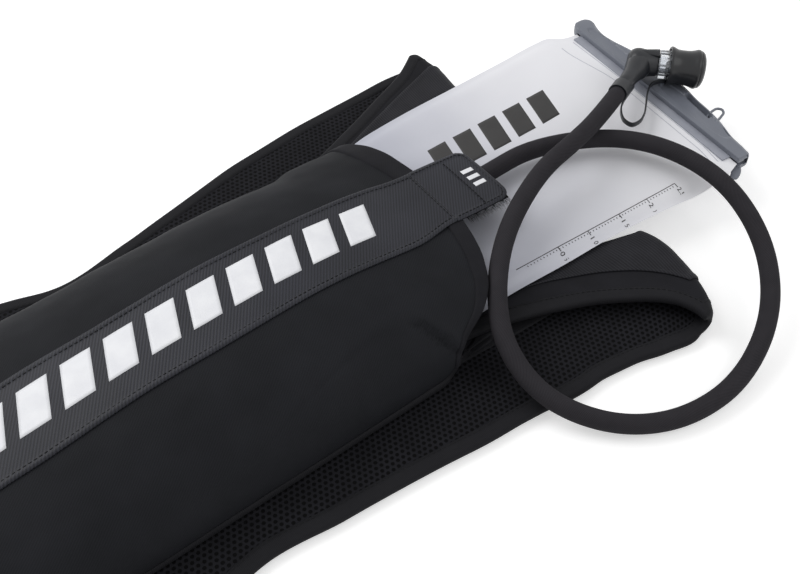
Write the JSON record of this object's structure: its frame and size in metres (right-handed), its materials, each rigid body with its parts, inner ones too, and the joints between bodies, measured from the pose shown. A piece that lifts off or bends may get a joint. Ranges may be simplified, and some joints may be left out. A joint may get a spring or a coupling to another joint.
{
  "type": "hydration pack",
  "caption": "Slim hydration pack lying flat, shoulder straps folded back under it, with a reservoir drawn half out of its mouth and a looped drinking hose with a bite valve.",
  "frame": {"origin": "on the ground, under the middle of the pack's length and width, the hose and its valve left out", "axes": "+X up the back panel and out of the pouch's mouth, +Y the wearer's left, +Z away from the wearer's back"},
  "size_m": [0.7687, 0.447, 0.081],
  "materials": {
    "shell_fabric": "smooth fine weave",
    "laminated_webbing": "lattice-textured laminate with stitched edges",
    "webbing": "ribbed webbing",
    "binding": "folded tape, stitched",
    "spacer_mesh": "open spacer mesh",
    "foam": "closed-cell foam",
    "hook_tape": "hook and loop",
    "hose_sleeve": "fine woven insulating sleeve",
    "black_acetal": "moulded, satin",
    "black_rubber": "moulded, soft sheen",
    "clear_plastic": "clear, polished",
    "bite_silicone": "translucent silicone",
    "bladder_film": "milky translucent film",
    "seal_grey": "moulded, slight sheen"
  },
  "bodies": {
    "pack": {"panel_mesh": "spacer_mesh", "panel_foam": "foam", "panel_binding": "binding", "pouch_shell": "shell_fabric", "mouth_facing": "shell_fabric", "centre_strip": "laminated_webbing", "loop_patch": "hook_tape", "bladder_hanger": "webbing", "haul_loop": "webbing", "strap_webbing_left": "webbing", "strap_foam_left": "foam", "strap_mesh_left": "spacer_mesh", "strap_binding_left": "binding", "lock_loop_left": "webbing", "adjuster_webbing_left": "webbing", "wing_left": "shell_fabric", "strap_webbing_right": "webbing", "strap_foam_right": "foam", "strap_mesh_right": "spacer_mesh", "strap_binding_right": "binding", "lock_loop_right": "webbing", "adjuster_webbing_right": "webbing", "wing_right": "shell_fabric", "hose": "hose_sleeve", "hose_collar": "black_acetal"},
    "flap": {"flap_tab": "laminated_webbing", "hook_patch": "hook_tape"},
    "bladder": {"bladder_bag": "bladder_film", "bladder_lip": "bladder_film", "port_flange": "seal_grey", "coupler_body": "black_acetal", "port_o_ring": "black_rubber"},
    "release_button": {"release_button": "seal_grey"},
    "seal": {"seal_bar": "seal_grey", "seal_loop": "seal_grey"},
    "valve": {"valve_elbow": "black_acetal", "cap_tether": "black_rubber"},
    "bite_head": {"shutoff_ring": "clear_plastic", "bite_valve": "bite_silicone"},
    "dust_cap": {"dust_cap": "black_rubber"},
    "lock_left": {"ladder_lock_left": "black_acetal"},
    "lock_right": {"ladder_lock_right": "black_acetal"}
  },
  "joints": [
    {"name": "bladder_slide", "type": "slide", "parent": "pack", "child": "bladder", "axis": [1, 0, 0], "range_m": [-0.2, 0.215], "deforming": ["hose"]},
    {"name": "button_press", "type": "slide", "parent": "bladder", "child": "release_button", "axis": [1, 0, 0], "range_m": [0, 0.002], "stiffness_N_per_m": 400},
    {"name": "seal_slide", "type": "slide", "parent": "bladder", "child": "seal", "axis": [0.0645, 0.9979, 0], "range_m": [0, 0.222]},
    {"name": "flap_hinge", "type": "hinge", "parent": "pack", "child": "flap", "pos_m": [0.08815, 0, 0.06495], "axis": [0, -1, 0], "range_deg": [0, 150]},
    {"name": "valve_swivel", "type": "hinge", "parent": "pack", "child": "valve", "pos_m": [0.291, 0.002, 0.0625], "axis": [-0.922, -0.3783, 0.0827], "range_deg": [0, 150]},
    {"name": "shutoff_twist", "type": "hinge", "parent": "valve", "child": "bite_head", "pos_m": [0.34079, 0.02243, 0.05803], "axis": [0.6997, -0.7145, 0], "range_deg": [0, 90]},
    {"name": "cap_pull", "type": "slide", "parent": "valve", "child": "dust_cap", "axis": [0.6997, -0.7145, 0], "range_m": [0, 0.045], "deforming": ["cap_tether"]},
    {"name": "lock_tilt_left", "type": "hinge", "parent": "pack", "child": "lock_left", "pos_m": [-0.278, 0.138, 0.0043], "axis": [0, 1, 0], "range_deg": [0, 60], "deforming": ["adjuster_webbing_left"]},
    {"name": "lock_tilt_right", "type": "hinge", "parent": "pack", "child": "lock_right", "pos_m": [-0.278, -0.138, 0.0043], "axis": [0, 1, 0], "range_deg": [0, 60], "deforming": ["adjuster_webbing_right"]}
  ]
}
